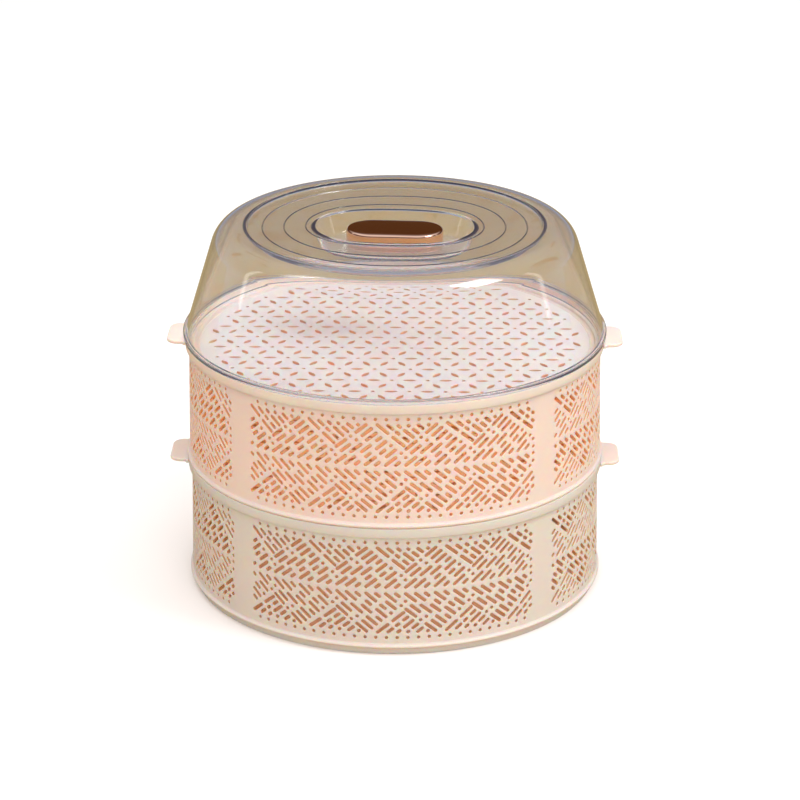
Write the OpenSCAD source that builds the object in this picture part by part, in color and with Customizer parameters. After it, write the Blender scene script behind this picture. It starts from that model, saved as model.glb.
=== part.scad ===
/* [Tiers] */
// Height of one tier above the one below it
tier_pitch = 99; // [80:1:130]
// Outer radius of a wall ring where it meets its foot bead
ring_foot_r = 162.6; // [135:0.2:200]
// How far a wall ring narrows from its foot to its top edge
ring_draft = 1.6; // [0:0.1:3]
// Wall thickness of the rings and trays
wall_t = 2.2; // [1.8:0.1:3]
// Height of the plain lip below the bead, which drops into the tray beneath
spigot_h = 5; // [3:0.5:6]
// Height of the rounded foot bead
bead_h = 4.2; // [3:0.2:6]
// How far the foot bead stands out from the wall
bead_out = 1.7; // [1:0.1:3]
// Number of ventilated panels round a wall ring
panel_n = 4; // [3:1:6]
// Plain strip left between two panels, in degrees
post_deg = 7.6; // [5:0.2:12]
// Number of round vent holes in a border row of one panel
vent_n = 14; // [6:1:14]
// Diameter of a round vent hole
vent_d = 2.4; // [1.5:0.1:3]
// Distance of a vent row from the edge of the wall
vent_in = 4.8; // [3:0.2:8]

/* [Trays] */
// Height of the plain rim band round a tray
band_h = 7.5; // [6.5:0.5:12]
// How far the rim band stands out from the top of the wall ring
band_out = 2.8; // [1.5:0.1:4]
// Thickness of the rim band
band_t = 2.4; // [2:0.1:3]
// Depth of the tray floor below the top of the rim band
floor_depth = 7; // [7:0.5:14]
// Thickness of the tray floor
floor_t = 2; // [1.6:0.1:3]
// Width of the ledge that the next ring stands on
ledge_w = 5.2; // [4:0.2:8]
// Width of an ear along the rim
ear_w = 42; // [25:1:60]
// How far an ear reaches out from the rim band
ear_out = 14; // [8:1:20]
// Thickness of an ear
ear_t = 3; // [2:0.5:4]
// Corner radius of an ear
ear_round = 9; // [4:1:12]

/* [Lid] */
// Height of the lid from the rim it rests on to its top land
lid_h = 88; // [70:1:110]
// How far the lid flange reaches past the rim band
flange_over = 1.6; // [0.5:0.1:4]
// Thickness of the lid flange
flange_t = 3.5; // [2.5:0.5:5]
// Step from the flange edge in to the lid's side
flange_step = 2.2; // [1:0.1:5]
// Wall thickness of the lid
lid_t = 2.4; // [2:0.1:3]
// Slope of the lid's side, in degrees from upright
lid_slope = 17; // [8:1:20]
// Radius of the rounded lid shoulder
shoulder_r = 21.4; // [14:0.2:24]
// Width of the flat land between the shoulder and the sunk panel
land_w = 7.7; // [4:0.1:10]
// Depth of the sunk top panel
panel_sink = 3; // [2:0.5:4]
// Height of the fine ribs on the top panel
rib_h = 0.6; // [0.4:0.1:1]
// Width of the fine ribs on the top panel
rib_w = 1.2; // [0.8:0.1:2]
// Number of fine ribs on the top panel
rib_n = 3; // [1:1:3]
// Place of the innermost rib, from 0 at the well rim to 1 at the panel edge
rib_first = 0.14; // [0.1:0.01:0.2]
// Step from one rib to the next, on the same scale
rib_step = 0.32; // [0.2:0.01:0.36]
// Depth of the finger well below the top panel
well_depth = 16; // [12:0.5:20]
// Overall length of the finger well at its rim
well_l = 123; // [105:1:126]
// Overall width of the finger well at its rim
well_w = 86; // [70:1:90]
// How far the side of the well leans in from rim to floor
well_lean = 6; // [3:0.5:10]
// Turn of the grip and its well about the upright axis, in degrees
grip_turn = -3; // [-45:1:45]

/* [Grip] */
// Overall length of the grip
grip_l = 75; // [60:1:84]
// Overall width of the grip
grip_w = 41; // [30:1:46]
// Height of the grip above the well floor
grip_h = 14.5; // [12:0.5:18]
// Height of the grip's base block
grip_base_h = 4; // [3:0.5:6]
// How far the base block is set in from the side of the grip cap
grip_base_inset = 1; // [0.5:0.1:2]
// Wall thickness of the grip cap
cap_t = 2; // [1.5:0.1:3]
// Distance between the two grip screws
screw_span = 36; // [30:1:40]
// Shank diameter of a grip screw
screw_d = 3.5; // [3:0.1:4]
// Length of a grip screw under its head
screw_l = 12; // [10:0.5:14]
// Head diameter of a grip screw
screw_head_d = 7; // [6:0.5:8]
// Head height of a grip screw
screw_head_h = 2.2; // [1.5:0.1:3]

/* [Fits] */
// Gap round each lip that drops into a rim
lip_gap = 0.5; // [0.4:0.1:1]
// Gap under the foot bead, round a tray dish and round a screw shank
small_gap = 0.4; // [0.3:0.1:0.8]

/* [Hidden] */
$fn = 96;
plastic = [0.96, 0.86, 0.79];
clear = [0.80, 0.74, 0.60, 0.4];
copper = [0.72, 0.43, 0.30];
steel = [0.75, 0.75, 0.76];

// Heights inside one tier, measured from the bottom of its spigot
rim_top = tier_pitch + spigot_h;
ring_top = rim_top - band_h;
floor_z = rim_top - floor_depth;
bead_z = spigot_h + small_gap;
bead_top = bead_z + bead_h;

// Radii of one tier
ring_top_r = ring_foot_r - ring_draft;
band_r = ring_top_r + band_out;
band_inner_r = band_r - band_t;
spigot_r = band_inner_r - lip_gap;
ledge_r = band_inner_r - ledge_w;
dish_r = ring_top_r - wall_t - small_gap;
panel_deg = 360 / panel_n - post_deg;

// Heights of the lid, measured from the bottom of its flange
lid_z = tier_pitch + rim_top;
panel_z = lid_h - panel_sink;
well_z = panel_z - well_depth;
flange_r = band_r + flange_over;
side_r = flange_r - flange_step;
skirt_h = spigot_h - small_gap;
shoulder_z = lid_h - shoulder_r;
shoulder_mid_r = side_r - tan(lid_slope) * (shoulder_z - flange_t) - shoulder_r / cos(lid_slope);
panel_r = shoulder_mid_r - land_w;

// Points along an arc of a profile: centre, radius and the two end angles
function arc(r, z, radius, from, to, steps = 10) =
    [for (i = [0:steps]) let (a = from + (to - from) * i / steps)
        [r + radius * cos(a), z + radius * sin(a)]];

// A flat shape with straight sides and round ends
module oval(length, width) {
    square([length - width, width], center = true);
    for (side = [-1, 1]) translate([side * (length - width) / 2, 0]) circle(d = width);
}

module oval_block(length, width, height) linear_extrude(height) oval(length, width);

module at_screws() for (side = [-1, 1]) translate([side * screw_span / 2, 0, 0]) children();

// Places its children in a tier, counted from 0 at the bottom
module in_tier(i) translate([0, 0, i * tier_pitch]) children();

// Puts its children where the grip stands on the well floor
module in_well() translate([0, 0, lid_z + well_z]) rotate([0, 0, grip_turn]) children();

// A row of round vent holes across one panel
module vent_row(z) {
    pitch = panel_deg / vent_n;
    reach = 3 * wall_t;
    for (i = [0:vent_n - 1])
        rotate([0, 0, (i - (vent_n - 1) / 2) * pitch]) translate([0, 0, z])
            rotate([0, 90, 0]) translate([0, 0, ring_top_r - reach])
                cylinder(d = vent_d, h = 2 * reach, $fn = 8);
}

// One wall ring: spigot, foot bead and the thin ventilated wall
module ring() {
    bead_r = ring_foot_r + bead_out;
    round_r = bead_h / 3;
    difference() {
        rotate_extrude() polygon(concat(
            [[spigot_r - wall_t, 0], [spigot_r, 0], [spigot_r, bead_z]],
            arc(bead_r - round_r, bead_z + round_r, round_r, -90, 60, 5),
            [[ring_foot_r, bead_top], [ring_top_r, ring_top],
             [ring_top_r - wall_t, ring_top], [ring_foot_r - wall_t, bead_top],
             [spigot_r - wall_t, bead_z]]));
        for (i = [0:panel_n - 1], z = [bead_top + vent_in, ring_top - vent_in])
            rotate([0, 0, i * 360 / panel_n - 90]) vent_row(z);
    }
}

// One tab handle, rooted in the rim band
module ear() {
    root = band_t / 2;
    translate([band_r - root, 0, rim_top - spigot_h - ear_t / 2]) linear_extrude(ear_t) {
        translate([0, -ear_w / 2]) square([root + ear_out - ear_round, ear_w]);
        translate([0, ear_round - ear_w / 2]) square([root + ear_out, ear_w - 2 * ear_round]);
        for (side = [-1, 1])
            translate([root + ear_out - ear_round, side * (ear_w / 2 - ear_round)])
                circle(r = ear_round);
    }
}

// One tray: rim band with two ears, ledge for the next ring, and a sunk floor
module tray() {
    ledge_z = tier_pitch;
    difference() {
        union() {
            rotate_extrude() polygon([
                [0, floor_z - floor_t], [dish_r, floor_z - floor_t], [dish_r, ring_top],
                [band_r, ring_top], [band_r, rim_top], [band_inner_r, rim_top],
                [band_inner_r, ledge_z], [ledge_r, ledge_z], [ledge_r, floor_z], [0, floor_z]]);
            for (side = [0, 180]) rotate([0, 0, side]) ear();
        }
        translate([0, 0, ledge_z]) cylinder(r = band_inner_r, h = rim_top);
    }
}

module lid_outline() polygon(concat(
    [[0, 0], [flange_r, 0], [flange_r, flange_t], [side_r, flange_t]],
    arc(shoulder_mid_r, shoulder_z, shoulder_r, lid_slope, 90),
    [[panel_r, lid_h], [panel_r, panel_z], [0, panel_z]]));

module lid_hollow() {
    side_in = side_r - lid_t / cos(lid_slope);
    polygon(concat(
        [[0, -skirt_h], [spigot_r - lid_t, -skirt_h], [spigot_r - lid_t, 0],
         [side_in, flange_t]],
        arc(shoulder_mid_r, shoulder_z, shoulder_r - lid_t, lid_slope, 90),
        [[panel_r + lid_t, lid_h - lid_t], [panel_r + lid_t, panel_z - lid_t],
         [0, panel_z - lid_t]]));
}

// A round-ended block whose side leans in towards its floor
module well_shape(length, width, depth, lean) {
    half = (length - width) / 2;
    for (side = [-1, 1]) translate([side * half, 0, 0])
        cylinder(r1 = width / 2 - lean, r2 = width / 2, h = depth);
    translate([-half, 0, 0]) rotate([90, 0, 90]) linear_extrude(2 * half)
        polygon([[lean - width / 2, 0], [width / 2 - lean, 0], [width / 2, depth], [-width / 2, depth]]);
}

// A fine rib that follows the top panel
module rib(length, width) {
    translate([0, 0, panel_z - rib_h]) difference() {
        oval_block(length, width, 2 * rib_h);
        translate([0, 0, -rib_h]) oval_block(length - 2 * rib_w, width - 2 * rib_w, 4 * rib_h);
    }
}

module lower_ring() color(plastic) in_tier(0) ring();
module upper_ring() color(plastic) in_tier(1) ring();
module lower_tray() color(plastic) in_tier(0) tray();
module upper_tray() color(plastic) in_tier(1) tray();

// The clear lid: flange, skirt, domed side, sunk ribbed top panel and finger well
module lid_dome() color(clear) {
    rib_room = 2 * panel_r - well_l;
    rib_room_w = 2 * panel_r - well_w;
    translate([0, 0, lid_z]) rotate([0, 0, grip_turn]) difference() {
        union() {
            difference() {
                rotate_extrude() lid_outline();
                rotate_extrude() lid_hollow();
            }
            rotate_extrude() polygon([
                [spigot_r - lid_t, -skirt_h], [spigot_r, -skirt_h],
                [spigot_r, flange_t / 2], [spigot_r - lid_t, flange_t / 2]]);
            translate([0, 0, well_z - lid_t])
                well_shape(well_l + 2 * lid_t, well_w + 2 * lid_t, well_depth + lid_t, well_lean);
            for (i = [0:rib_n - 1]) let (place = rib_first + i * rib_step)
                rib(well_l + place * rib_room, well_w + place * rib_room_w);
        }
        translate([0, 0, well_z]) well_shape(well_l, well_w, well_depth + 4 * rib_h, well_lean);
        translate([0, 0, well_z - 2 * lid_t])
            at_screws() cylinder(d = screw_d + 2 * small_gap, h = 4 * lid_t);
    }
}

// Base block of the grip, which the screws clamp to the well floor
module grip_base() color(copper) in_well() difference() {
    oval_block(grip_l - 2 * grip_base_inset, grip_w - 2 * grip_base_inset, grip_base_h);
    translate([0, 0, -grip_base_h]) at_screws()
        cylinder(d = screw_d + 2 * small_gap, h = 3 * grip_base_h);
}

// Hollow cap of the grip, with two screw bosses inside
module grip_cap() color(copper) in_well() translate([0, 0, grip_base_h]) {
    cap_h = grip_h - grip_base_h;
    boss_d = screw_d + 2 * cap_t;
    difference() {
        union() {
            difference() {
                oval_block(grip_l, grip_w, cap_h);
                translate([0, 0, -cap_t])
                    oval_block(grip_l - 2 * cap_t, grip_w - 2 * cap_t, cap_h);
            }
            at_screws() cylinder(d = boss_d, h = cap_h - cap_t / 2);
        }
        translate([0, 0, -cap_t]) at_screws() cylinder(d = screw_d, h = cap_h);
    }
}

// Two pan-head screws, driven up through the well floor
module grip_screws() color(steel) in_well() at_screws() translate([0, 0, -lid_t]) {
    cylinder(d = screw_d, h = screw_l);
    translate([0, 0, -screw_head_h]) cylinder(d = screw_head_d, h = screw_head_h);
}

lower_ring();
lower_tray();
upper_ring();
upper_tray();
lid_dome();
grip_base();
grip_cap();
grip_screws();
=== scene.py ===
import math

import bmesh
import bpy
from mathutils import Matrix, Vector
from mathutils.geometry import delaunay_2d_cdt


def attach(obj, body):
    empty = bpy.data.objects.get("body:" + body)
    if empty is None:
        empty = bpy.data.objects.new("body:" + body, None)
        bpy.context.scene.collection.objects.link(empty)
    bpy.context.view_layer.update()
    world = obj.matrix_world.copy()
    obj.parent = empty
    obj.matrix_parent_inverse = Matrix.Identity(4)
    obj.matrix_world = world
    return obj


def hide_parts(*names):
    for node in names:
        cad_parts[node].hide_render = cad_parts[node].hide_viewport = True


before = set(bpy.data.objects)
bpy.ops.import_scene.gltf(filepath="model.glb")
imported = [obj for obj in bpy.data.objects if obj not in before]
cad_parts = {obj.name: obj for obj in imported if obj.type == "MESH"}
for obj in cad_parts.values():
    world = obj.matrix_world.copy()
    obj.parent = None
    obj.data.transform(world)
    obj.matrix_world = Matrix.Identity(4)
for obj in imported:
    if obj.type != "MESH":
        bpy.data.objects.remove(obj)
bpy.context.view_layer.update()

# Lengths are in millimetres until a mesh is made, angles in degrees.
MM = 0.001
TURN_STEPS = 360

# A Mix node has one pair of inputs and one output for each kind of data. These are the ones for colours.
MIX_A = 6
MIX_B = 7
MIX_RESULT = 2

# ---------------------------------------------------------------- sizes of one tier
TIER_PITCH = 99
RING_FOOT_R = 162.6
RING_TOP_R = 161.0
WALL_T = 2.2
SPIGOT_R = 160.9
SPIGOT_H = 5.0
BEAD_Z = 5.4
BEAD_TOP = 9.6
BEAD_R = 164.3
RING_TOP = 96.5
RIM_TOP = 104.0
BAND_R = 163.8
BAND_INNER_R = 161.4
LEDGE_Z = 99.0
LEDGE_R = 156.2
DISH_R = 158.4
FLOOR_Z = 97.0
FLOOR_T = 2.0
EAR_W = 42.0
EAR_OUT = 14.0
EAR_T = 3.0
EAR_ROUND = 9.0

# ---------------------------------------------------------------- the wall pattern
PANELS = 4
PANEL_DEG = 82.4
REPEATS = 4.45
SLOT_ANGLE = 39.6
SLOT_W = 2.7
LINES = 7
MOUTH = 0.2
DOT_D = 2.6
DOTS = 28
DOT_PITCH = 2.855
DOT_IN = 4.8
PATTERN_IN = 8.2
MID_GAP = 1.8
MOTIF_H = 34.4
RISE_SHIFT = 0.118
RING_TURN = 0.6

# One repeat of the herringbone: the number of a slanted line, then the two ends of one slot on it.
# Rising slots are measured up from the middle of the wall, falling ones down from the pattern's top.
RISING = [
    (0, 0, 8), (0, 10, 11.6), (0, 13, 21), (0, 22.5, 24.1), (0, 26, 34),
    (1, 0, 4), (1, 6.3, 8), (1, 10, 17.2), (1, 19.8, 21.5), (1, 23.5, 31),
    (2, 0, 8), (2, 10, 18), (2, 20, 27.6),
    (3, 0, 7.6), (3, 10.4, 17.6), (3, 20, 24.2),
    (4, 0, 4), (4, 6.6, 11), (4, 13.4, 21),
    (5, 0, 8), (5, 9.6, 14), (5, 16, 18),
    (6, 0, 4), (6, 7, 14.2),
]
FALLING = [
    (0, 0, 8.4), (0, 10, 18.5),
    (1, 0.4, 5), (1, 5.8, 9), (1, 10.5, 14.7),
    (2, 0.4, 3.4), (2, 4.5, 11.7),
    (3, 0.4, 2.6), (3, 3.7, 8.4),
    (4, 0.4, 5), (5, 0.4, 2.5),
]

# ---------------------------------------------------------------- the tray floor pattern
GRID = 27.0
LEAF_L = 10.6
LEAF_W = 3.9
LATTICE_DOT_D = 3.0
PATTERN_R = 148.0
PLATE_R = 152.0

# ---------------------------------------------------------------- the lid
LID_Z = 203.0
LID_H = 88.0
LID_T = 2.4
LID_SLOPE = 17.0
FLANGE_R = 165.4
FLANGE_T = 3.5
SIDE_R = 163.2
SKIRT_H = 4.6
SHOULDER_R = 21.4
LAND_W = 7.7
PANEL_SINK = 3.0
WELL_DEPTH = 16.0
WELL_L = 123.0
WELL_W = 86.0
WELL_LEAN = 6.0
RIB_H = 0.6
RIB_W = 1.2
RIB_PLACES = (0.14, 0.46, 0.78)
GRIP_TURN = -3.0

# ---------------------------------------------------------------- the grip
GRIP_L = 75.0
GRIP_W = 41.0
GRIP_H = 14.5
BASE_H = 4.0
BASE_INSET = 1.0
CAP_T = 2.0
CAP_ROUND = 1.9
SCREW_SPAN = 36.0
SCREW_D = 3.5
SCREW_L = 12.0
SCREW_HEAD_D = 7.0
SCREW_HEAD_H = 2.2
SCREW_HOLE_D = 4.3


def sind(angle):
    return math.sin(math.radians(angle))


def cosd(angle):
    return math.cos(math.radians(angle))


def tand(angle):
    return math.tan(math.radians(angle))


class Shell:
    """Points in millimetres and faces, gathered before they become one mesh."""

    def __init__(self):
        self.points = []
        self.faces = []
        self.skins = []

    def add(self, points, faces, skin=0):
        """Adds faces, and skin says which of the piece's materials they wear."""
        start = len(self.points)
        self.points.extend(points)
        self.faces.extend([start + i for i in face] for face in faces)
        self.skins.extend([skin] * len(faces))

    def to_object(self, name, sharp=32.0, turn=0.0, lift=0.0):
        """Makes the mesh object: turned about the upright axis, lifted, welded and shaded."""
        c, s = cosd(turn), sind(turn)
        points = [((x * c - y * s) * MM, (x * s + y * c) * MM, (z + lift) * MM) for x, y, z in self.points]
        mesh = bpy.data.meshes.new(name)
        mesh.from_pydata(points, [], self.faces)
        mesh.polygons.foreach_set("material_index", self.skins)
        work = bmesh.new()
        work.from_mesh(mesh)
        bmesh.ops.remove_doubles(work, verts=work.verts, dist=0.01 * MM)
        bmesh.ops.dissolve_degenerate(work, edges=work.edges, dist=0.001 * MM)
        bmesh.ops.recalc_face_normals(work, faces=work.faces)
        work.to_mesh(mesh)
        work.free()
        mesh.shade_smooth()
        mesh.set_sharp_from_angle(angle=math.radians(sharp))
        piece = bpy.data.objects.new(name, mesh)
        bpy.context.scene.collection.objects.link(piece)
        return piece


# ---------------------------------------------------------------- profiles and lofts
def arc(r, z, radius, start, end, steps=6):
    """Points along an arc of a profile."""
    turns = [start + (end - start) * i / steps for i in range(steps + 1)]
    return [(r + radius * cosd(a), z + radius * sind(a)) for a in turns]


def lathe(shell, profile, steps=TURN_STEPS):
    """Turns an open profile of (radius, height) points about the upright axis."""
    angles = [360 * i / steps for i in range(steps)]
    points = [(r * cosd(a), r * sind(a), z) for r, z in profile for a in angles]
    faces = []
    for row in range(len(profile) - 1):
        for i in range(steps):
            j = (i + 1) % steps
            faces.append([row * steps + i, row * steps + j, (row + 1) * steps + j, (row + 1) * steps + i])
    shell.add(points, faces)


def oval(centre, radius, steps, blend):
    """A loop with round ends: a circle where centre is 0, else two half circles drawn apart along X."""
    loop = []
    for i in range(steps):
        a = 360 * i / steps
        pull = math.tanh(blend * cosd(a)) / math.tanh(blend)
        loop.append((centre * pull + radius * cosd(a), radius * sind(a)))
    return loop


def loft(shell, rows, steps=TURN_STEPS, blend=2.6):
    """Skins a list of (centre, radius, height) ovals."""
    points = [(x, y, z) for centre, radius, z in rows for x, y in oval(centre, radius, steps, blend)]
    faces = []
    for row in range(len(rows) - 1):
        for i in range(steps):
            j = (i + 1) % steps
            faces.append([row * steps + i, row * steps + j, (row + 1) * steps + j, (row + 1) * steps + i])
    shell.add(points, faces)


def round_hole(x, y, diameter, steps=12):
    return [(x + diameter / 2 * cosd(360 * i / steps), y + diameter / 2 * sind(360 * i / steps))
            for i in range(steps)]


def capsule(ax, ay, bx, by, width, end_steps=5):
    """A slot's outline: two half circles round the ends of its centreline."""
    along = math.degrees(math.atan2(by - ay, bx - ax))
    loop = []
    for x, y, facing in ((ax, ay, along + 90), (bx, by, along - 90)):
        for i in range(end_steps + 1):
            a = facing + 180 * i / end_steps
            loop.append((x + width / 2 * cosd(a), y + width / 2 * sind(a)))
    return loop


def leaf(x, y, turn, length, width, steps=5):
    """A pointed leaf outline: two arcs that meet at its tips."""
    half = length / 2
    radius = (half ** 2 + (width / 2) ** 2) / width
    loop = []
    for side in (1, -1):
        for i in range(steps):
            u = side * (half - length * i / steps)
            v = side * (math.sqrt(radius ** 2 - u ** 2) - radius + width / 2)
            loop.append((x + u * cosd(turn) - v * sind(turn), y + u * sind(turn) + v * cosd(turn)))
    return loop


def pierced(outline, holes, extra=()):
    """Triangulates a flat sheet, leaving its convex holes open. Returns its points and triangles."""
    coords = [Vector(p) for p in outline]
    edges = [(i, (i + 1) % len(outline)) for i in range(len(outline))]
    owner = [-1] * len(outline)
    for number, hole in enumerate(holes):
        start = len(coords)
        coords.extend(Vector(p) for p in hole)
        edges.extend((start + i, start + (i + 1) % len(hole)) for i in range(len(hole)))
        owner.extend([number] * len(hole))
    coords.extend(Vector(p) for p in extra)
    owner.extend([-1] * len(extra))
    points, _, triangles, sources, _, _ = delaunay_2d_cdt(coords, edges, [], 1, 1e-5)
    held_by = [owner[s[0]] if s else -1 for s in sources]
    kept = []
    for a, b, c in triangles:
        if held_by[a] < 0 or not held_by[a] == held_by[b] == held_by[c]:
            kept.append([a, b, c])
    return [tuple(p) for p in points], kept


def loop_strip(shell, upper, lower, skin=0):
    """Joins two closed loops of 3-D points that have the same number of points."""
    n = len(upper)
    shell.add(upper + lower, [[i, (i + 1) % n, n + (i + 1) % n, n + i] for i in range(n)], skin)


# ---------------------------------------------------------------- wall rings
CELL_DEG = PANEL_DEG / REPEATS
ARC_MM = math.radians(1) * RING_FOOT_R
CELL = CELL_DEG * ARC_MM
PANEL = PANEL_DEG * ARC_MM
MID_Z = (BEAD_TOP + RING_TOP) / 2
PATTERN_HALF = (RING_TOP - BEAD_TOP) / 2 - PATTERN_IN
STRETCH = (PATTERN_HALF - MID_GAP) / MOTIF_H
RUN = 1 / tand(SLOT_ANGLE)


def slot_lines():
    """The centrelines of the slots in the upper half of a panel, from outside: (x, z, x, z)."""
    lines = []
    for cell in range(-1, math.ceil(REPEATS) + 1):
        for row, low, high in RISING:
            x = cell * CELL + RISE_SHIFT * CELL + row * CELL / LINES
            ends = [(x + v * STRETCH * RUN, MID_Z + MID_GAP + v * STRETCH) for v in (low, high)]
            lines.append((*ends[0], *ends[1]))
        for row, low, high in FALLING if cell >= 0 else ():
            x = cell * CELL + row * CELL / LINES
            ends = [(x + v * STRETCH * RUN, MID_Z + PATTERN_HALF - v * STRETCH) for v in (low, high)]
            lines.append((*ends[0], *ends[1]))
    return lines


def trimmed(line):
    """A slot cut to the panel, its ends drawn in by half its width, or None if nothing is left."""
    x0, z0, x1, z1 = line
    climb = (z1 - z0) / (x1 - x0)
    inset = SLOT_W / 2 * cosd(SLOT_ANGLE)
    a = max(x0 + inset, SLOT_W / 2)
    b = min(x1 - inset, PANEL - SLOT_W / 2)
    if b < a:
        middle = (x0 + x1) / 2
        if x1 - x0 < 2 * inset and SLOT_W / 2 <= middle <= PANEL - SLOT_W / 2:
            a = middle - 0.05
            b = middle + 0.05
        else:
            return None
    return a, z0 + (a - x0) * climb, b, z0 + (b - x0) * climb


def wall_holes(grow):
    """Outlines of every hole in one panel, widened by grow all round, with x from the panel's middle."""
    holes = []
    for line in slot_lines():
        slot = trimmed(line)
        if slot is None:
            continue
        x0, z0, x1, z1 = slot
        x0 -= PANEL / 2
        x1 -= PANEL / 2
        holes.append(capsule(x0, z0, x1, z1, SLOT_W + 2 * grow))
        holes.append(capsule(x0, 2 * MID_Z - z0, x1, 2 * MID_Z - z1, SLOT_W + 2 * grow))
    pitch = DOT_PITCH * ARC_MM
    for z in (BEAD_TOP + DOT_IN, RING_TOP - DOT_IN):
        for i in range(DOTS):
            holes.append(round_hole((i - (DOTS - 1) / 2) * pitch, z, DOT_D + 2 * grow))
    return holes


def bend(points, depth, middle):
    """Bends flat (x, z) points round the ring: depth goes in from the outer face."""
    bent = []
    for x, z in points:
        part = (z - BEAD_TOP) / (RING_TOP - BEAD_TOP)
        r = RING_FOOT_R + part * (RING_TOP_R - RING_FOOT_R) - depth
        a = middle + x / ARC_MM
        bent.append((r * cosd(a), r * sind(a), z))
    return bent


def ring(name, lift):
    """A vented wall ring: pierced skins, slot walls, foot bead, spigot and top edge."""
    shell = Shell()
    sector = 360 / PANELS
    half = sector / 2 * ARC_MM
    steps = int(sector)
    rungs = 10
    heights = [BEAD_TOP + (RING_TOP - BEAD_TOP) * i / rungs for i in range(rungs + 1)]
    across = [(i / steps - 0.5) * 2 * half for i in range(steps + 1)]
    outline = [(x, BEAD_TOP) for x in across] + [(half, z) for z in heights[1:-1]]
    outline += [(x, RING_TOP) for x in reversed(across)] + [(-half, z) for z in reversed(heights[1:-1])]
    extra = [(x, z) for x in across[1:-1] for z in (BEAD_TOP + 1.6, MID_Z, RING_TOP - 1.6)]
    plain = [x for x in across[1:-1] if abs(x) > PANEL / 2 + 1]
    extra += [(x, z) for x in plain for z in heights[1:-1] if abs(z - MID_Z) > 1]
    mouths = wall_holes(MOUTH)
    throats = wall_holes(0)
    front = pierced(outline, mouths, extra)
    back = pierced(outline, throats, extra)
    for i in range(PANELS):
        middle = -90 + i * sector
        shell.add(bend(front[0], 0, middle), front[1])
        # The inner skin and the inner half of each slot wall wear the second material, the painted orange
        # glow lining.
        shell.add(bend(back[0], WALL_T, middle), [t[::-1] for t in back[1]], skin=1)
        for mouth, throat in zip(mouths, throats):
            neck = bend(throat, MOUTH, middle)
            loop_strip(shell, bend(mouth, 0, middle), neck)
            loop_strip(shell, neck, bend(throat, WALL_T, middle), skin=1)
    soft = 0.5
    round_r = (BEAD_TOP - BEAD_Z) / 2.6
    foot = [(RING_FOOT_R - WALL_T, BEAD_TOP), (SPIGOT_R - WALL_T, BEAD_Z - 0.4)]
    foot += arc(SPIGOT_R - WALL_T + soft, soft, soft, 180, 270, 3)
    foot += arc(SPIGOT_R - soft, soft, soft, -90, 0, 3)
    foot += [(SPIGOT_R, BEAD_Z)]
    foot += arc(BEAD_R - round_r, BEAD_Z + round_r, round_r, -90, 70, 8)
    foot += [(RING_FOOT_R + 0.35, BEAD_TOP - 0.5), (RING_FOOT_R, BEAD_TOP)]
    lathe(shell, foot)
    lathe(shell, [(RING_TOP_R, RING_TOP), (RING_TOP_R - WALL_T, RING_TOP)])
    return shell.to_object(name, turn=RING_TURN, lift=lift)


# ---------------------------------------------------------------- trays
def floor_holes(grow):
    """Leaf slots along every edge of a triangle lattice, and a dot at each of its corners."""
    holes = []
    reach = int(PATTERN_R / GRID) + 3
    for row in range(-reach, reach + 1):
        for column in range(-reach, reach + 1):
            x = GRID * (column + row / 2)
            y = GRID * row * sind(60)
            if math.hypot(x, y) < PATTERN_R - LATTICE_DOT_D:
                holes.append(round_hole(x, y, LATTICE_DOT_D + 2 * grow))
            for turn in (0, 60, 120):
                u = x + GRID / 2 * cosd(turn)
                v = y + GRID / 2 * sind(turn)
                if math.hypot(u, v) < PATTERN_R - LEAF_L / 2:
                    holes.append(leaf(u, v, turn, LEAF_L + 3 * grow, LEAF_W + 2 * grow))
    return holes


def tray_body(shell):
    """Pierced floor, ledge and rim band."""
    edge = [(PLATE_R * cosd(i), PLATE_R * sind(i)) for i in range(TURN_STEPS)]
    inner = [((PLATE_R - 2.4) * cosd(i), (PLATE_R - 2.4) * sind(i)) for i in range(0, TURN_STEPS, 2)]
    mouths = floor_holes(MOUTH)
    throats = floor_holes(0)
    top = pierced(edge, mouths, inner)
    bottom = pierced(edge, throats, inner)
    underside = FLOOR_Z - FLOOR_T
    # The floor's top face wears the paler copy of the tier plastic: painted light on the upward face.
    shell.add([(x, y, FLOOR_Z) for x, y in top[0]], top[1], skin=2)
    # The floor's underside and the lower half of each hole wall wear the painted orange glow lining.
    shell.add([(x, y, underside) for x, y in bottom[0]], [t[::-1] for t in bottom[1]], skin=1)
    for mouth, throat in zip(mouths, throats):
        neck = [(x, y, FLOOR_Z - MOUTH) for x, y in throat]
        loop_strip(shell, [(x, y, FLOOR_Z) for x, y in mouth], neck)
        loop_strip(shell, neck, [(x, y, underside) for x, y in throat], skin=1)
    soft = 0.7
    small = 0.4
    profile = [(PLATE_R, underside)]
    profile += arc(DISH_R - small, underside + small, small, -90, 0, 3)
    profile += [(DISH_R, RING_TOP)]
    profile += arc(BAND_R - small, RING_TOP + small, small, -90, 0, 3)
    profile += arc(BAND_R - soft, RIM_TOP - soft, soft, 0, 90, 4)
    profile += arc(BAND_INNER_R + small, RIM_TOP - small, small, 90, 180, 3)
    profile += [(BAND_INNER_R, LEDGE_Z)]
    profile += arc(LEDGE_R + soft, LEDGE_Z - soft, soft, 90, 180, 4)
    profile += arc(LEDGE_R - soft, FLOOR_Z + soft, soft, 0, -90, 4)
    profile += [(PLATE_R + 1.6, FLOOR_Z), (PLATE_R + 1.2, FLOOR_Z + 0.35), (PLATE_R + 0.4, FLOOR_Z + 0.35)]
    profile += [(PLATE_R, FLOOR_Z)]
    lathe(shell, profile)


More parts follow.
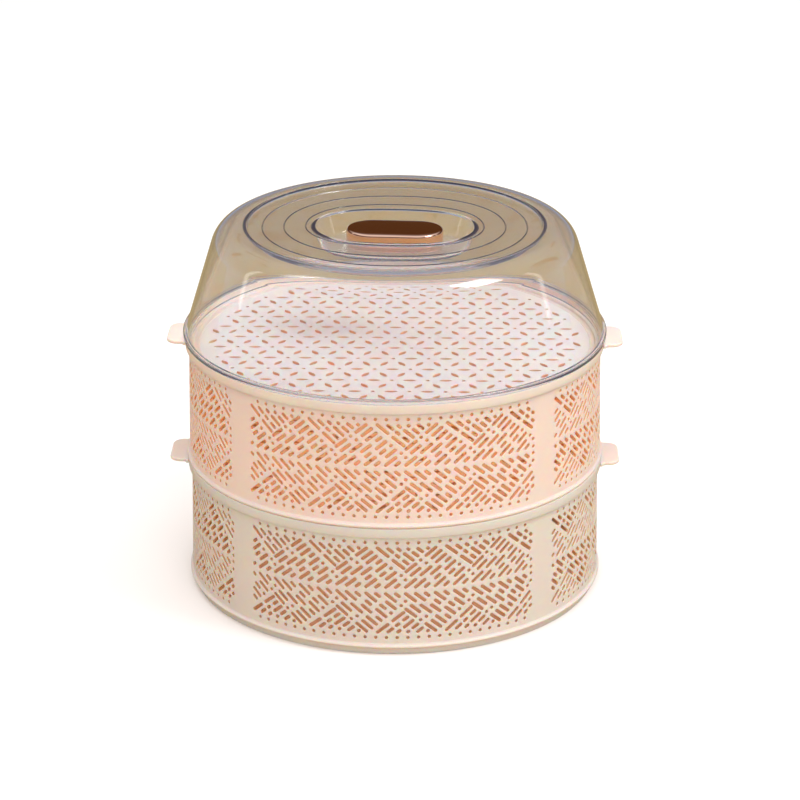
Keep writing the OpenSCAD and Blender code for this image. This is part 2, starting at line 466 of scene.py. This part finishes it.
def ear_outline(inset, steps=10):
    """The tab seen from above, drawn in by inset, from its root to its round corners."""
    root = BAND_R - 1.2
    tip = BAND_R + EAR_OUT - inset
    half = EAR_W / 2 - inset
    radius = EAR_ROUND - inset
    fillet = 3.0
    loop = [(root, -half - fillet)]
    loop += arc(BAND_R + fillet + 0.4, -half - fillet, fillet, 180, 90, 6)
    loop += arc(tip - radius, radius - half, radius, -90, 0, steps)
    loop += arc(tip - radius, half - radius, radius, 0, 90, steps)
    loop += arc(BAND_R + fillet + 0.4, half + fillet, fillet, 270, 180, 6)
    loop += [(root, half + fillet)]
    return loop


def ear(shell, side):
    """One tab handle with softly rounded edges."""
    middle = RIM_TOP - SPIGOT_H
    soft = EAR_T / 2 * 0.7
    levels = [(soft - soft * cosd(a), EAR_T / 2 - soft + soft * sind(a)) for a in range(0, 91, 18)]
    sections = [(inset, middle - height) for inset, height in reversed(levels)]
    sections += [(inset, middle + height) for inset, height in levels]
    loops = [[(side * x, side * y, z) for x, y in ear_outline(inset)] for inset, z in sections]
    for lower, upper in zip(loops, loops[1:]):
        loop_strip(shell, lower, upper)
    for loop in (loops[0], loops[-1]):
        shell.add(loop, [list(range(len(loop)))])


def tray(name, lift):
    shell = Shell()
    tray_body(shell)
    for side in (1, -1):
        ear(shell, side)
    return shell.to_object(name, lift=lift)


# ---------------------------------------------------------------- lid
SHOULDER_Z = LID_H - SHOULDER_R
SHOULDER_MID_R = SIDE_R - tand(LID_SLOPE) * (SHOULDER_Z - FLANGE_T) - SHOULDER_R / cosd(LID_SLOPE)
PANEL_R = SHOULDER_MID_R - LAND_W
PANEL_Z = LID_H - PANEL_SINK
WELL_Z = PANEL_Z - WELL_DEPTH
WELL_C = (WELL_L - WELL_W) / 2


def rib_rows(place):
    """The rows of one fine half-round rib that runs round the panel."""
    half_l = WELL_L / 2 + place * (PANEL_R - WELL_L / 2)
    half_w = WELL_W / 2 + place * (PANEL_R - WELL_W / 2)
    rows = []
    for a in range(0, 181, 30):
        rows.append((half_l - half_w, half_w + RIB_W / 2 * cosd(a), PANEL_Z + RIB_H * sind(a)))
    return rows


def lid_outside():
    """Rows of the lid's outer face, from the foot of its skirt to the well floor."""
    soft = 0.9
    small = 0.5
    chain = arc(SPIGOT_R - soft, soft - SKIRT_H, soft, -90, 0, 3)
    chain += [(SPIGOT_R, 0)]
    chain += arc(FLANGE_R - soft, soft, soft, -90, 0, 4)
    chain += arc(FLANGE_R - soft, FLANGE_T - soft, soft, 0, 90, 4)
    chain += [(SIDE_R, FLANGE_T)]
    chain += arc(SHOULDER_MID_R, SHOULDER_Z, SHOULDER_R, LID_SLOPE, 90, 18)
    chain += arc(PANEL_R + small, LID_H - small, small, 90, 180, 4)
    chain += arc(PANEL_R - small, PANEL_Z + small, small, 0, -90, 4)
    rows = [(0, r, z) for r, z in chain]
    for place in reversed(RIB_PLACES):
        rows += rib_rows(place)
    lip = 1.6
    slope = math.degrees(math.atan2(WELL_LEAN, WELL_DEPTH))
    rim_r = WELL_W / 2 + lip * tand(45 - slope / 2)
    rows += [(WELL_C, r, z) for r, z in arc(rim_r, PANEL_Z - lip, lip, 90, 180 - slope, 5)]
    foot_r = WELL_W / 2 - WELL_LEAN
    bowl = 3.0
    centre_r = foot_r - bowl * tand(45 - slope / 2)
    rows += [(WELL_C, r, z) for r, z in arc(centre_r, WELL_Z + bowl, bowl, -slope, -90, 6)]
    return rows


def lid_inside():
    """Rows of the lid's inner face, from the foot of its skirt to the underside of the well."""
    rows = [(0, SPIGOT_R - LID_T, -SKIRT_H), (0, SPIGOT_R - LID_T, 0)]
    side_in = SIDE_R - LID_T / cosd(LID_SLOPE)
    rows += [(0, side_in, FLANGE_T)]
    rows += [(0, r, z) for r, z in arc(SHOULDER_MID_R, SHOULDER_Z, SHOULDER_R - LID_T, LID_SLOPE, 90, 18)]
    step = PANEL_SINK / 2
    step_r = PANEL_R + LID_T
    rows += [(0, r, z) for r, z in arc(step_r + step, LID_H - LID_T - step, step, 90, 180, 5)]
    rows += [(0, r, z) for r, z in arc(step_r - step, PANEL_Z - LID_T + step, step, 0, -90, 5)]
    for place in reversed(RIB_PLACES):
        centre, radius, _ = rib_rows(place)[3]
        rows += [(centre, radius, PANEL_Z - LID_T)]
    slope = math.degrees(math.atan2(WELL_LEAN, WELL_DEPTH))
    rim_r = WELL_W / 2 + LID_T
    lip = 1.4
    rows += [(WELL_C, r, z) for r, z in arc(rim_r + lip, PANEL_Z - LID_T - lip, lip, 90, 180 - slope, 4)]
    foot_r = WELL_W / 2 - WELL_LEAN + LID_T
    bowl = 4.4
    under = WELL_Z - LID_T
    centre_r = foot_r - bowl * tand(45 - slope / 2)
    rows += [(WELL_C, r, z) for r, z in arc(centre_r, under + bowl, bowl, -slope, -90, 6)]
    return rows


def well_floor(shell, radius, z):
    """The flat floor of the well, with its two screw holes."""
    loop = oval(WELL_C, radius, TURN_STEPS, 2.6)
    holes = [round_hole(side * SCREW_SPAN / 2, 0, SCREW_HOLE_D, 24) for side in (-1, 1)]
    points, triangles = pierced(loop, holes)
    shell.add([(x, y, z) for x, y in points], triangles)


def lid(name):
    shell = Shell()
    outside = lid_outside()
    inside = lid_inside()
    loft(shell, outside)
    loft(shell, inside)
    loft(shell, [inside[0], outside[0]])
    well_floor(shell, outside[-1][1], WELL_Z)
    well_floor(shell, inside[-1][1], WELL_Z - LID_T)
    for side in (-1, 1):
        rim = round_hole(side * SCREW_SPAN / 2, 0, SCREW_HOLE_D, 24)
        loop_strip(shell, [(x, y, WELL_Z) for x, y in rim], [(x, y, WELL_Z - LID_T) for x, y in rim])
    return shell.to_object(name, sharp=40, turn=GRIP_TURN, lift=LID_Z)


# ---------------------------------------------------------------- grip
def stadium(centre, radius, steps=24):
    """A loop with straight sides and round ends."""
    loop = []
    for x, start in ((centre, -90), (-centre, 90)):
        loop += [(x + radius * cosd(start + 180 * i / steps), radius * sind(start + 180 * i / steps))
                 for i in range(steps + 1)]
    return loop


def stack(shell, rows, centre):
    """Skins a closed block from (radius, height) rows of one stadium."""
    loops = [[(x, y, z) for x, y in stadium(centre, radius)] for radius, z in rows]
    for lower, upper in zip(loops, loops[1:]):
        loop_strip(shell, lower, upper)
    for loop in (loops[0], loops[-1]):
        shell.add(loop, [list(range(len(loop)))])


GRIP_C = (GRIP_L - GRIP_W) / 2
GRIP_Z = LID_Z + WELL_Z


def grip_cap(name):
    """The plated cap: a hollow shell with a rounded top edge and a faint crown, and two screw bosses."""
    shell = Shell()
    half = GRIP_W / 2
    crown = 0.35
    edge_z = GRIP_H - crown
    rows = [(half - CAP_T, BASE_H + 0.3), (half - CAP_T, edge_z - CAP_T - 1), (1, edge_z - CAP_T)]
    inner = list(reversed(rows))
    soft = 0.3
    outer = arc(half - soft, BASE_H + soft, soft, -90, 0, 3)
    outer += arc(half - CAP_ROUND, edge_z - CAP_ROUND, CAP_ROUND, 0, 84, 8)
    for share in (0.75, 0.5, 0.25, 0.05):
        r = (half - CAP_ROUND) * share
        outer.append((r, edge_z + crown * (1 - share ** 2)))
    stack(shell, inner + outer, GRIP_C)
    for side in (-1, 1):
        bore = SCREW_D / 2
        foot = BASE_H + 0.2
        head = edge_z - 1.5
        boss = [(bore, head), (bore, foot), (bore + CAP_T, foot), (bore + CAP_T, head), (bore, head)]
        start = len(shell.points)
        lathe(shell, boss, 32)
        for i in range(start, len(shell.points)):
            x, y, z = shell.points[i]
            shell.points[i] = (x + side * SCREW_SPAN / 2, y, z)
    return shell.to_object(name, sharp=50, turn=GRIP_TURN, lift=GRIP_Z)


def grip_base(name):
    """The base block that the cap sits on, with soft edges."""
    shell = Shell()
    half = GRIP_W / 2 - BASE_INSET
    soft = 0.5
    rows = arc(half - soft, soft, soft, -90, 0, 4) + arc(half - soft, BASE_H - soft, soft, 0, 90, 4)
    stack(shell, rows, GRIP_C)
    return shell.to_object(name, sharp=50, turn=GRIP_TURN, lift=GRIP_Z)


def grip_screws(name):
    """Two pan-head screws with a hexagon recess, driven up through the well floor."""
    shell = Shell()
    recess_d = 3.0
    recess_h = 1.4
    pitch = 1.2
    thread_depth = 0.4
    thread_crest = 0.3
    head_round = 1
    steps = 48
    for side in (-1, 1):
        part = Shell()
        head_z = -LID_T - SCREW_HEAD_H
        rim = round_hole(0, 0, SCREW_HEAD_D - 2 * head_round, steps)
        hexagon = round_hole(0, 0, recess_d, 6)
        points, triangles = pierced(rim, [hexagon])
        part.add([(x, y, head_z) for x, y in points], triangles)
        deep = [(x, y, head_z + recess_h) for x, y in hexagon]
        loop_strip(part, [(x, y, head_z) for x, y in hexagon], deep)
        part.add(deep, [list(range(6))])
        profile = arc(SCREW_HEAD_D / 2 - head_round, head_z + head_round, head_round, -90, 0, 4)
        profile += [(SCREW_HEAD_D / 2, -LID_T)]
        z = -LID_T
        profile += [(SCREW_D / 2, z)]
        while z < SCREW_L - LID_T - 2 * pitch:
            profile += [(SCREW_D / 2, z + thread_crest), (SCREW_D / 2 - thread_depth, z + pitch / 2)]
            profile += [(SCREW_D / 2, z + pitch)]
            z += pitch
        profile += [(0.2, SCREW_L - LID_T)]
        lathe(part, profile, steps)
        tip = part.points[-steps:]
        part.add(tip, [list(range(steps))])
        shell.add([(x + side * SCREW_SPAN / 2, y, h) for x, y, h in part.points], part.faces)
    return shell.to_object(name, sharp=35, turn=GRIP_TURN, lift=GRIP_Z)


# ---------------------------------------------------------------- materials
class Nodes:
    """A short way to make a node material."""

    def __init__(self, name):
        self.material = bpy.data.materials.new(name)
        self.material.use_nodes = True
        self.tree = self.material.node_tree
        self.tree.nodes.clear()
        self.output = self.tree.nodes.new("ShaderNodeOutputMaterial")
        self.place = self.add("ShaderNodeTexCoord").outputs["Object"]

    def add(self, kind, inputs=None, **settings):
        node = self.tree.nodes.new(kind)
        for key, value in settings.items():
            setattr(node, key, value)
        for key, value in (inputs or {}).items():
            self.set(node.inputs[key], value)
        return node

    def set(self, socket, value):
        if isinstance(value, bpy.types.NodeSocket):
            self.tree.links.new(value, socket)
        else:
            socket.default_value = value

    def noise(self, scale, detail=2.0, roughness=0.5):
        settings = {"Vector": self.place, "Scale": scale, "Detail": detail, "Roughness": roughness}
        return self.add("ShaderNodeTexNoise", settings).outputs["Fac"]

    def spread(self, value, low, high):
        """Maps the middle of a noise to a range."""
        settings = {"Value": value, "From Min": 0.3, "From Max": 0.7, "To Min": low, "To Max": high}
        return self.add("ShaderNodeMapRange", settings).outputs["Result"]

    def tint(self, factor, low, high):
        """Mixes two colours, each either three numbers or a socket."""
        mix = self.add("ShaderNodeMix", data_type="RGBA")
        self.set(mix.inputs["Factor"], factor)
        for place, colour in ((MIX_A, low), (MIX_B, high)):
            self.set(mix.inputs[place], (*colour, 1) if isinstance(colour, tuple) else colour)
        return mix.outputs[MIX_RESULT]

    def bump(self, height, strength, distance):
        settings = {"Height": height, "Strength": strength, "Distance": distance}
        return self.add("ShaderNodeBump", settings).outputs["Normal"]

    def finish(self, shader):
        self.tree.links.new(shader, self.output.inputs["Surface"])
        return self.material


def tier_plastic(name, low, high, glow, share):
    """Satin moulded polypropylene: it lets a warm light through, and has a fine moulded grain."""
    n = Nodes(name)
    cloud = n.noise(14, 3)
    colour = n.tint(n.spread(cloud, 0, 1), low, high)
    grain = n.noise(2600, 2)
    relief = n.bump(grain, 0.10, 0.0002)
    skin = n.add("ShaderNodeBsdfPrincipled", {
        "Base Color": colour, "Roughness": n.spread(n.noise(60, 3), 0.36, 0.46), "IOR": 1.49,
        "Subsurface Weight": 1.0, "Subsurface Radius": (1.0, 0.50, 0.28), "Subsurface Scale": 0.005,
        "Normal": relief})
    light_through = n.add("ShaderNodeBsdfTranslucent", {"Color": (*glow, 1), "Normal": relief})
    mix = n.add("ShaderNodeMixShader", {0: share})
    n.set(mix.inputs[1], skin.outputs["BSDF"])
    n.set(mix.inputs[2], light_through.outputs["BSDF"])
    return n.finish(mix.outputs["Shader"])


def clear_plastic():
    """Clear polished plastic, tinted champagne, with a faint painted blue glow that lifts its dark edges.
    Light passes to what it covers.
    """
    n = Nodes("clear_plastic")
    wave = n.noise(9, 2)
    smudge = n.spread(n.noise(30, 4), 0.0, 0.03)
    # The emission is painted light: a faint blue glow that lifts the dark edges of the lid.
    clear = n.add("ShaderNodeBsdfPrincipled", {
        "Base Color": (0.985, 0.97, 0.945, 1), "Roughness": smudge, "IOR": 1.49,
        "Transmission Weight": 1.0, "Emission Color": (0.52, 0.54, 0.85, 1), "Emission Strength": 0.014,
        "Normal": n.bump(wave, 0.03, 0.002)})
    through = n.add("ShaderNodeBsdfTransparent", {"Color": (0.99, 0.985, 0.98, 1)})
    path = n.add("ShaderNodeLightPath")
    mix = n.add("ShaderNodeMixShader")
    n.set(mix.inputs[0], path.outputs["Is Shadow Ray"])
    n.set(mix.inputs[1], clear.outputs["BSDF"])
    n.set(mix.inputs[2], through.outputs["BSDF"])
    return n.finish(mix.outputs["Shader"])


def plated_copper():
    """Mirror rose-copper plating with faint handling haze."""
    n = Nodes("plated_copper")
    haze = n.noise(40, 4)
    colour = n.tint(n.spread(haze, 0, 1), (0.93, 0.58, 0.45), (0.96, 0.63, 0.50))
    shader = n.add("ShaderNodeBsdfPrincipled", {
        "Base Color": colour, "Metallic": 1.0, "Roughness": n.spread(haze, 0.05, 0.11),
        "Normal": n.bump(n.noise(900, 2), 0.02, 0.0002)})
    return n.finish(shader.outputs["BSDF"])


def screw_steel():
    """Plain zinc-plated steel."""
    n = Nodes("screw_steel")
    spots = n.noise(700, 4)
    colour = n.tint(n.spread(spots, 0, 1), (0.50, 0.50, 0.51), (0.66, 0.66, 0.66))
    shader = n.add("ShaderNodeBsdfPrincipled", {
        "Base Color": colour, "Metallic": 1.0, "Roughness": n.spread(spots, 0.25, 0.42),
        "Normal": n.bump(spots, 0.15, 0.0001)})
    return n.finish(shader.outputs["BSDF"])


def floor_paper():
    """Pale studio floor. What bounces, bends or mirrors it takes it as a warm tan."""
    n = Nodes("floor_paper")
    mottle = n.spread(n.noise(1.5, 3), 0, 1)
    pale = n.tint(mottle, (0.985, 0.98, 0.975), (1.0, 0.995, 0.99))
    tan = n.tint(mottle, (0.35, 0.26, 0.105), (0.38, 0.285, 0.125))
    seen = n.add("ShaderNodeLightPath").outputs["Is Camera Ray"]
    shader = n.add("ShaderNodeBsdfPrincipled", {
        "Base Color": n.tint(seen, tan, pale), "Roughness": 0.7, "Specular IOR Level": 0.2,
        "Normal": n.bump(n.noise(400, 2), 0.05, 0.0005)})
    return n.finish(shader.outputs["BSDF"])


# ---------------------------------------------------------------- the object
def place_piece(piece, body, node, slot, *materials):
    for material in materials:
        piece.data.materials.append(material)
    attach(piece, body)
    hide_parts(node)


ivory_glow = (1.0, 0.72, 0.46)
wall_plastic = tier_plastic("wall_plastic", (0.965, 0.785, 0.735), (0.985, 0.81, 0.76), ivory_glow, 0.16)
# The tray floor's top face wears a paler copy of the tier plastic: painted light on the face turned up to the
# lamps.
plate_painted_light_plastic = tier_plastic("plate_painted_light_plastic", (0.98, 0.865, 0.82), (0.995, 0.885, 0.84), ivory_glow, 0.08)
# The lining is a deeper orange copy of the tier plastic for the inner skins and slot walls: painted glow that
# stands in for the warm light inside the closed tiers.
painted_glow_lining = tier_plastic("tier_painted_glow_lining", (0.95, 0.70, 0.52), (0.97, 0.73, 0.55), (1.0, 0.66, 0.36), 0.50)
copper = plated_copper()
for tier, word in enumerate(("lower", "upper")):
    wall = ring(f"{word}_wall", tier * TIER_PITCH)
    place_piece(wall, f"{word}_ring", f"{word}_ring", "tier_plastic", wall_plastic, painted_glow_lining)
    shelf = tray(f"{word}_shelf", tier * TIER_PITCH)
    place_piece(shelf, f"{word}_tray", f"{word}_tray", "tier_plastic", wall_plastic, painted_glow_lining, plate_painted_light_plastic)
place_piece(lid("clear_lid"), "lid", "lid_dome", "clear_plastic", clear_plastic())
place_piece(grip_base("grip_block"), "lid", "grip_base", "plated_copper", copper)
place_piece(grip_cap("grip_shell"), "lid", "grip_cap", "plated_copper", copper)
place_piece(grip_screws("grip_fixings"), "lid", "grip_screws", "screw_steel", screw_steel())


# ---------------------------------------------------------------- floor, light and camera
def make_floor():
    half = 6.0
    mesh = bpy.data.meshes.new("floor")
    corners = [(-half, -half, 0), (half, -half, 0), (half, half, 0), (-half, half, 0)]
    mesh.from_pydata(corners, [], [[0, 1, 2, 3]])
    mesh.materials.append(floor_paper())
    floor = bpy.data.objects.new("floor", mesh)
    bpy.context.scene.collection.objects.link(floor)


def area_light(name, place, target, size, power, colour=(1, 1, 1), mirrored=True):
    """A soft box. Gloss mirrors it, and the clear lid shows it, only where mirrored is true."""
    data = bpy.data.lights.new(name, "AREA")
    data.shape = "RECTANGLE"
    data.size = size[0]
    data.size_y = size[1]
    data.energy = power
    data.color = colour
    light = bpy.data.objects.new(name, data)
    light.location = place
    light.rotation_euler = (Vector(target) - Vector(place)).to_track_quat("-Z", "Y").to_euler()
    light.visible_glossy = mirrored
    light.visible_transmission = mirrored
    bpy.context.scene.collection.objects.link(light)


def make_world(strength):
    """A pale studio all round.

    Gloss mirrors a warm dark wall under a bright ceiling, and the clear lid bends in a slate tone.
    """
    world = bpy.data.worlds.new("studio")
    world.use_nodes = True
    world.cycles.sampling_method = "NONE"
    tree = world.node_tree
    back = tree.nodes["Background"]
    back.inputs["Strength"].default_value = strength
    place = tree.nodes.new("ShaderNodeTexCoord")
    split = tree.nodes.new("ShaderNodeSeparateXYZ")
    tree.links.new(place.outputs["Generated"], split.inputs[0])
    ramp = tree.nodes.new("ShaderNodeValToRGB")
    stops = ramp.color_ramp.elements
    stops[0].position = 0.02
    stops[0].color = (0.34, 0.38, 0.52, 1)
    stops[1].position = 0.80
    stops[1].color = (0.95, 0.98, 1.0, 1)
    for height in (0.16, 0.42):
        stops.new(height).color = (0.11, 0.05, 0.018, 1)
    tree.links.new(split.outputs["Z"], ramp.inputs[0])
    path = tree.nodes.new("ShaderNodeLightPath")
    shiny = tree.nodes.new("ShaderNodeMix")
    shiny.data_type = "RGBA"
    shiny.inputs[MIX_A].default_value = (0.42, 0.44, 0.54, 1)
    tree.links.new(path.outputs["Is Reflection Ray"], shiny.inputs["Factor"])
    tree.links.new(ramp.outputs["Color"], shiny.inputs[MIX_B])
    mix = tree.nodes.new("ShaderNodeMix")
    mix.data_type = "RGBA"
    mix.inputs[MIX_A].default_value = (1.0, 0.985, 0.97, 1)
    tree.links.new(path.outputs["Is Glossy Ray"], mix.inputs["Factor"])
    tree.links.new(shiny.outputs[MIX_RESULT], mix.inputs[MIX_B])
    tree.links.new(mix.outputs[MIX_RESULT], back.inputs["Color"])
    bpy.context.scene.world = world


def make_camera():
    azimuth = 1.4
    distance = 2.069
    height = 0.952
    aim = Vector((0, 0, 0.1433))
    data = bpy.data.cameras.new("camera")
    data.sensor_width = 36
    data.lens = 126.4
    data.shift_x = 0.0065
    data.clip_end = 50
    camera = bpy.data.objects.new("camera", data)
    camera.location = (distance * sind(azimuth), -distance * cosd(azimuth), height)
    camera.rotation_euler = (aim - camera.location).to_track_quat("-Z", "Y").to_euler()
    bpy.context.scene.collection.objects.link(camera)
    bpy.context.scene.camera = camera


make_floor()
make_world(0.85)
area_light("key", (1.45, -0.55, 2.1), (0, 0, 0.15), (0.9, 0.9), 21, (0.985, 0.985, 1.0))
area_light("overhead", (-0.3, 0.2, 2.6), (0, 0, 0.1), (2.4, 2.4), 21, (1.0, 0.955, 0.92), mirrored=False)
for side in (-1, 1):
    area_light("strip", (side * 1.6, 0.2, 0.75), (0, 0, 0.2), (0.10, 0.9), 0.5)
area_light("front_fill", (0.4, -2.8, 1.3), (0, 0, 0.12), (2.2, 1.6), 33, (1.0, 0.97, 0.955), mirrored=False)
glow_size = (0.21, 0.21)
glow_colour = (1.0, 0.36, 0.05)
for tier, power in enumerate((0.055, 0.13)):
    under_tray = (tier * TIER_PITCH + FLOOR_Z - FLOOR_T - 1) * MM
    area_light("tier_glow", (0, 0, under_tray), (0, 0, 0), glow_size, power, glow_colour, mirrored=False)
make_camera()
bpy.context.scene.view_settings.view_transform = "Standard"
